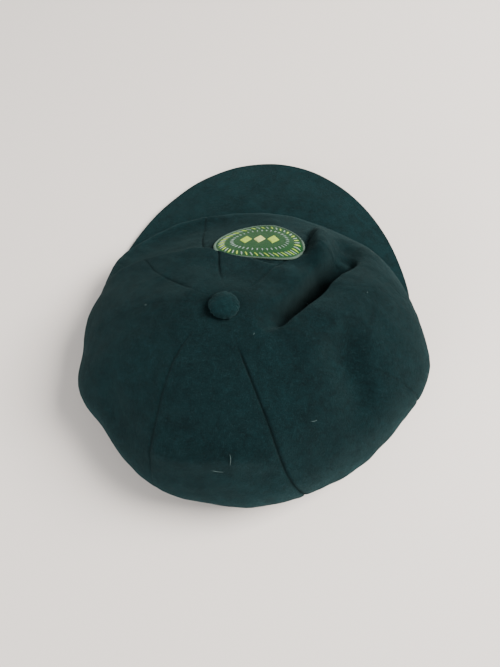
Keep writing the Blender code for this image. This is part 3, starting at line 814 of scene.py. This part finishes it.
def stitch(ends, radius=0.24, sides=6):
    """One raised stitch between two places, thickest in its middle."""
    start, end = ends
    ahead = end - start
    length = np.linalg.norm(ahead)
    ahead = ahead / length
    aside = np.cross(ahead, (0.0, 0.0, 1.0))
    aside /= np.linalg.norm(aside)
    over = np.cross(aside, ahead)
    points = []
    for share, thick in ((0, 0.35), (0.2, 0.9), (0.5, 1.0), (0.8, 0.9), (1, 0.35)):
        for side in range(sides):
            turn = math.tau * side / sides
            off = aside * math.cos(turn) + over * math.sin(turn)
            points.append(start + ahead * length * share + off * radius * thick)
    faces = grid_faces(5, sides, True)
    faces.append(list(range(sides)))
    faces.append([4 * sides + side for side in reversed(range(sides))])
    return np.array(points), faces


def make_hem(look):
    """The crown's turned-in hem, a soft rolled ring."""
    angle = np.linspace(0, math.tau, 360, endpoint=False)[None]
    profile = ring_profile(0.05, HEM_HEIGHT, HEM_INSET - 0.2, HEM_INSET + HEM_T, 0.95)
    depth, height = profile[:, :1], profile[:, 1:]
    x = BAND_X + (HEAD_A + depth) * np.cos(angle)
    y = BAND_Y + (HEAD_B + depth) * np.sin(angle)
    z = height + FRONT_LIFT * front_rise(angle)
    points = np.stack([x, y, z], axis=-1)
    points[..., 2] += 0.12 * ripple(points, 14.0, SEED + 40) * smooth_step(height / 2)
    hem = grid_piece("hem_roll", points, look, closed=True)
    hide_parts("hem_band")
    return hem


# ---------------------------------------------------------------- the peak


def outline_distance(angle):
    """From the head opening's middle to the peak's elliptical outline, in a direction."""
    dx, dy = (BAND_X - PEAK_X) / PEAK_A, (BAND_Y - PEAK_Y) / PEAK_B
    ux, uy = np.cos(angle) / PEAK_A, np.sin(angle) / PEAK_B
    a = ux**2 + uy**2
    b = dx * ux + dy * uy
    return (-b + np.sqrt(b**2 - a * (dx**2 + dy**2 - 1))) / a


def peak_section():
    """Round the peak's section: how far across it each place is, its height and its way out."""
    top = [(share, 1.0, 0.0) for share in np.linspace(0, 1, 26)]
    turns = np.radians(np.linspace(90, -90, 13))[1:-1]
    edge = [(1.0, math.sin(t), math.cos(t)) for t in turns]
    bottom = [(share, -1.0, 0.0) for share in np.linspace(1, 0, 26)]
    return np.array(top + edge + bottom)


def make_peak(look):
    """The peak's wool cover over its board, rolled round the outer edge, with the seam there."""
    turn = np.linspace(0, 1, 181)
    turn = turn - 0.55 * np.sin(2 * math.pi * turn) / (2 * math.pi)
    angle = np.radians(PEAK_COVER_END + (180 - 2 * PEAK_COVER_END) * turn)[:, None]
    section = peak_section()
    across, high, out = (section[None, :, k] for k in range(3))
    half_x, half_y = (half + PEAK_HEM_GAP for half in hem_outer())
    near = half_x * half_y / np.hypot(half_y * np.cos(angle), half_x * np.sin(angle))
    end = math.radians(PEAK_COVER_END)
    from_end = np.minimum(angle - end, math.pi - end - angle) / math.radians(PEAK_ROUND)
    corner = np.sqrt(np.clip(1 - (1 - np.clip(from_end, 0.004, 1)) ** 2, 0, 1))
    half = PEAK_HALF * (1.15 - 0.15 * np.clip(corner * 1.6, 0, 1))
    reach = (outline_distance(angle) + PEAK_EASE - near) * corner - half
    distance = near + np.maximum(reach, 0.4) * across + half * out
    inner_z = PEAK_INNER_Z + FRONT_LIFT * front_rise(angle)
    z = PEAK_OUTER_Z + (inner_z - PEAK_OUTER_Z) * (1 - across**PEAK_CURVE)
    seam = hump(high, 0.16) * (out > 0.5)
    points = np.stack(
        [
            BAND_X + (distance - 0.45 * seam) * np.cos(angle),
            BAND_Y + (distance - 0.45 * seam) * np.sin(angle),
            z + half * high,
        ],
        axis=-1,
    )
    soft = smooth_step(across / 0.15) * np.abs(high)
    points[..., 2] += 0.22 * ripple(points, 38.0, SEED + 50) * soft
    points[..., 2] = np.maximum(points[..., 2], 0.05)
    peak = grid_piece("peak_wool", points, look, closed=True, caps=True)
    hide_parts("peak_top_cover", "peak_under_cover")
    return peak


# ---------------------------------------------------------------- the badge


class Front:
    """The front panel's face, as places measured in millimetres along the cloth from the badge's middle."""

    def __init__(self):
        self.columns = np.linspace(-36, 36, 73)
        self.rows = np.linspace(-40, 40, 321)
        x, y = np.meshgrid(BADGE_X + self.columns, BADGE_Y + self.rows)
        self.points = top_point(x, y)
        step = np.linalg.norm(np.diff(self.points, axis=0), axis=-1)
        along = np.vstack([np.zeros(len(self.columns)), np.cumsum(step, axis=0)])
        middle = np.abs(self.rows).argmin()
        self.along = along - along[middle]
        self.normals = -surface_normal(self.points, False)

    def at(self, u, v, lift):
        """Places u across and v along the cloth, lift over it."""
        u, v = np.broadcast_arrays(np.asarray(u, float), np.asarray(v, float))
        v = v * BADGE_GATHER - BADGE_BOW * u**2
        column = np.clip((u - self.columns[0]) / (self.columns[1] - self.columns[0]), 0, 71.999)
        low = np.floor(column).astype(int)
        part = (column - low)[..., None]
        sides = [self.on_column(low + k, v) for k in (0, 1)]
        spot = sides[0][0] * (1 - part) + sides[1][0] * part
        out = sides[0][1] * (1 - part) + sides[1][1] * part
        out /= np.linalg.norm(out, axis=-1, keepdims=True)
        return spot + out * np.asarray(lift)[..., None]

    def on_column(self, column, v):
        shape = np.shape(v)
        spots, outs = np.empty((v.size, 3)), np.empty((v.size, 3))
        flat_column, flat_v = np.ravel(column), np.ravel(v)
        for one in np.unique(flat_column):
            here = flat_column == one
            row = np.interp(flat_v[here], self.along[:, one], np.arange(len(self.rows)))
            low = np.clip(np.floor(row).astype(int), 0, len(self.rows) - 2)
            part = (row - low)[:, None]
            for store, source in ((spots, self.points), (outs, self.normals)):
                store[here] = source[low, one] * (1 - part) + source[low + 1, one] * part
        return spots.reshape(*shape, 3), outs.reshape(*shape, 3)


def badge_disc(front, look):
    """The badge's twill base."""
    turn = np.linspace(0, math.tau, 144, endpoint=False)[None]
    reach = BADGE_R - 1.0
    rows = [(reach * share, BADGE_LIFT + BADGE_T) for share in np.linspace(0.01, 1, 26)]
    rows += [(reach * share, BADGE_LIFT) for share in (1, 0.66, 0.33, 0.01)]
    rows = np.array(rows)
    u, v = rows[:, :1] * np.cos(turn), rows[:, :1] * np.sin(turn)
    points = front.at(u, v, rows[:, 1:] * np.ones_like(turn))
    disc = grid_piece("badge_base_twill", points[::-1], look, closed=True, caps=True)
    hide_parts("badge_base")
    return disc


def badge_edge(front, look):
    """The thick overlocked edge, with a ridge for each of its slanting stitches."""
    stitches = 150
    turn = np.linspace(0, math.tau, 900, endpoint=False)[None]
    round_it = np.radians(np.linspace(0, 360, 13))[:, None]
    ridge = 0.12 * np.sin(stitches * turn + 0.9 * round_it)
    thick = EDGE_THICK + ridge
    radius = BADGE_R - EDGE_THICK + thick * np.cos(round_it)
    lift = BADGE_LIFT + 0.6 + thick * np.sin(round_it)
    points = front.at(radius * np.cos(turn), radius * np.sin(turn), lift)
    edge = grid_piece("badge_edge_stitched", points, look, closed=True)
    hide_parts("badge_border")
    return edge


def pad_shape(front, u, v, length, width, tilt, lift=None, height=0.5):
    """A small raised stitch on the badge, an oval pad along the direction tilt."""
    rings, sides = 4, 10
    points = []
    base = BADGE_LIFT + BADGE_T - 0.15 if lift is None else lift
    turn = np.linspace(0, math.tau, sides, endpoint=False)
    for ring in range(rings):
        share = math.cos(ring / rings * math.pi / 2)
        up = height * math.sin(ring / rings * math.pi / 2)
        a, b = length * share * np.cos(turn), width * share * np.sin(turn)
        points.append(front.at(u + a * math.cos(tilt) - b * math.sin(tilt),
                               v + a * math.sin(tilt) + b * math.cos(tilt), np.full(sides, base + up)))
    points = np.vstack(points + [front.at(u, v, base + height)[None]])
    faces = [face[::-1] for face in grid_faces(rings, sides, True)]
    faces.append(list(range(sides))[::-1])
    start, middle = (rings - 1) * sides, rings * sides
    faces += [[start + k, start + (k + 1) % sides, middle] for k in range(sides)]
    return points, faces


def badge_rings(front, silver, lime):
    """A ring of silver dots, and round it slanted leaf stitches, lime and silver in turn."""
    dots = [
        pad_shape(front, DOTS_R * math.cos(t), DOTS_R * math.sin(t), 1.5, 0.6, t)
        for t in np.linspace(0, math.tau, DOTS, endpoint=False)
    ]
    dotted = many_piece("badge_dots", dots, silver)
    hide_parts("badge_ring")
    leaves = ([], [])
    for index, t in enumerate(np.linspace(0, math.tau, LEAVES, endpoint=False)):
        u, v = LEAVES_R * math.cos(t), LEAVES_R * math.sin(t)
        shape = pad_shape(front, u, v, 2.7, 0.62, t + LEAF_SLANT)
        leaves[index % 2].append(shape)
    lime_leaves = many_piece("badge_leaves_lime", leaves[0], lime)
    silver_leaves = many_piece("badge_leaves_silver", leaves[1], silver)
    return [dotted, lime_leaves, silver_leaves]


def raised(front, name, u, v, height, look):
    """A satin-stitched patch standing off the badge, over an open grid of places."""
    share = np.minimum.reduce([
        np.linspace(0, 1, u.shape[0])[:, None] * np.ones_like(u),
        np.linspace(1, 0, u.shape[0])[:, None] * np.ones_like(u),
        np.linspace(0, 1, u.shape[1])[None] * np.ones_like(u),
        np.linspace(1, 0, u.shape[1])[None] * np.ones_like(u),
    ])
    puff = np.clip(share * 12, 0, 1) ** 0.5
    base = BADGE_LIFT + BADGE_T - 0.1
    top, bottom = front.at(u, v, base + height * puff), front.at(u, v, np.full(u.shape, base - 0.1))
    shape = shell_shape(top, bottom)
    return many_piece(name, [shape], look)


def shell_shape(top, bottom):
    """A closed body between two open grids of points."""
    rows, columns = top.shape[:2]
    count = rows * columns
    points = np.vstack([top.reshape(-1, 3), bottom.reshape(-1, 3)])
    upper = grid_faces(rows, columns, False)
    faces = [face[::-1] for face in upper] + [[corner + count for corner in face] for face in upper]
    rim = [(0, j) for j in range(columns)] + [(i, columns - 1) for i in range(1, rows)]
    rim += [(rows - 1, j) for j in range(columns - 2, -1, -1)] + [(i, 0) for i in range(rows - 2, 0, -1)]
    for (i, j), (k, m) in zip(rim, rim[1:] + rim[:1]):
        a, b = i * columns + j, k * columns + m
        faces.append([a, b, b + count, a + count])
    return points, faces


def badge_diamonds(front, lime, cream):
    """A row of three plain diamonds, each a raised satin-stitched patch."""
    made = []
    side_a, side_b = np.meshgrid(np.linspace(-0.5, 0.5, 21), np.linspace(-0.5, 0.5, 21))
    for name, place, look in (("left", -1, lime), ("middle", 0, cream), ("right", 1, lime)):
        u = place * DIAMOND_STEP + DIAMOND_HALF_W * (side_a + side_b)
        v = DIAMOND_HALF_H * (side_a - side_b)
        patch = raised(front, f"badge_diamond_{name}_stitched", u, v, 0.5, look)
        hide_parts(f"badge_diamond_{name}")
        made.append(patch)
    return made


# ---------------------------------------------------------------- everything


def dress_cad(name, look):
    """Give a CAD node that stays as it is a better material."""
    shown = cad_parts[name]
    shown = bpy.data.objects[shown] if isinstance(shown, str) else shown
    for slot in shown.material_slots:
        slot.material = look


def build():
    wool = wool_look("green_wool", WOOL, 0.25, seams=True)
    flat_wool = wool_look("peak_wool", PEAK_WOOL, 0.15)
    lining = woven_look("lining_cotton", (0.020, 0.046, 0.042), 0.0006)
    braid = woven_look("braid_weave", (0.016, 0.034, 0.031), 0.0008)
    tape = woven_look("white_tape_weave", (0.74, 0.74, 0.71), 0.0007, ways=("X", "Z"))
    buckram = woven_look("buckram_weave", (0.72, 0.70, 0.64), 0.0011, ways=("X", "Z"))
    steel = steel_look()
    silver = thread_look("silver_thread", (0.24, 0.31, 0.28))
    edging = thread_look("edging_thread", (0.085, 0.135, 0.100))
    lime = thread_look("lime_thread", (0.38, 0.54, 0.065))
    cream = thread_look("cream_thread", (0.55, 0.60, 0.20))
    field = thread_look("field_thread", (0.0015, 0.055, 0.008), "Y")
    dark_thread = thread_look("dark_thread", (0.012, 0.030, 0.028))
    lint = thread_look("lint_fibre", (0.075, 0.115, 0.110))

    crown = make_crown(wool)
    front = Front()
    inner = make_lining(lining)
    riders = [make_button(flat_wool), make_hem(flat_wool), make_lint(lint)]
    riders += make_sweatband(braid, dark_thread)
    riders.append(make_strip("headband_buckram", "headband_stay", buckram, STAY_ENDS, STAY_SECTION))
    riders.append(
        make_strip("back_elastic_ruched", "back_elastic", tape, ELASTIC_ENDS, STAY_SECTION, gathers=0.12)
    )
    riders += make_label(tape, dark_thread)
    riders += [badge_disc(front, field), badge_edge(front, edging)]
    riders += badge_rings(front, silver, lime)
    riders += badge_diamonds(front, lime, cream)
    for piece in riders:
        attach(piece, "crown")
    peak = make_peak(flat_wool)
    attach(peak, "peak")
    for piece in (crown, inner):
        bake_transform(piece)
    for name in ("button_shell", "button_back_plate", "button_washer"):
        dress_cad(name, steel)
    dress_cad("peak_board", board_look())
    return crown


def aim(thing, place, target):
    thing.location = place
    thing.rotation_euler = (Vector(target) - Vector(place)).to_track_quat("-Z", "Y").to_euler()


def add_light(name, place, size, power, colour, target=(0, 0, 0.02)):
    light = bpy.data.lights.new(name, "AREA")
    light.size = size
    light.energy = power
    light.color = colour
    made = bpy.data.objects.new(name, light)
    bpy.context.scene.collection.objects.link(made)
    aim(made, place, target)


def add_stage():
    mesh = bpy.data.meshes.new("floor")
    reach = 3.0
    corners = [(-reach, -reach, 0), (reach, -reach, 0), (reach, reach, 0), (-reach, reach, 0)]
    mesh.from_pydata(corners, [], [(0, 1, 2, 3)])
    mesh.materials.append(floor_look())
    link("floor", mesh)
    world = bpy.data.worlds.new("studio")
    world.use_nodes = True
    background = world.node_tree.nodes["Background"]
    background.inputs["Color"].default_value = (0.93, 0.96, 1.0, 1)
    background.inputs["Strength"].default_value = WORLD_LIGHT
    bpy.context.scene.world = world
    add_light("key", (1.25, 0.35, 1.25), 1.0, KEY_POWER, (1.0, 0.975, 0.95))
    add_light("fill", (-0.8, -1.5, 0.32), 1.0, FILL_POWER, (0.97, 0.98, 1.0))


def add_camera():
    camera = bpy.data.cameras.new("camera")
    camera.lens = 27
    camera.sensor_width = 36
    made = bpy.data.objects.new("camera", camera)
    bpy.context.scene.collection.objects.link(made)
    azimuth, elevation = math.radians(8.8), math.radians(65)
    level = math.cos(elevation)
    ahead = Vector((-math.sin(azimuth) * level, math.cos(azimuth) * level, -math.sin(elevation)))
    made.location = (0.0171, -0.1697, 0.3302)
    made.rotation_euler = ahead.to_track_quat("-Z", "Y").to_euler()
    bpy.context.scene.camera = made


add_camera()
build()
add_stage()
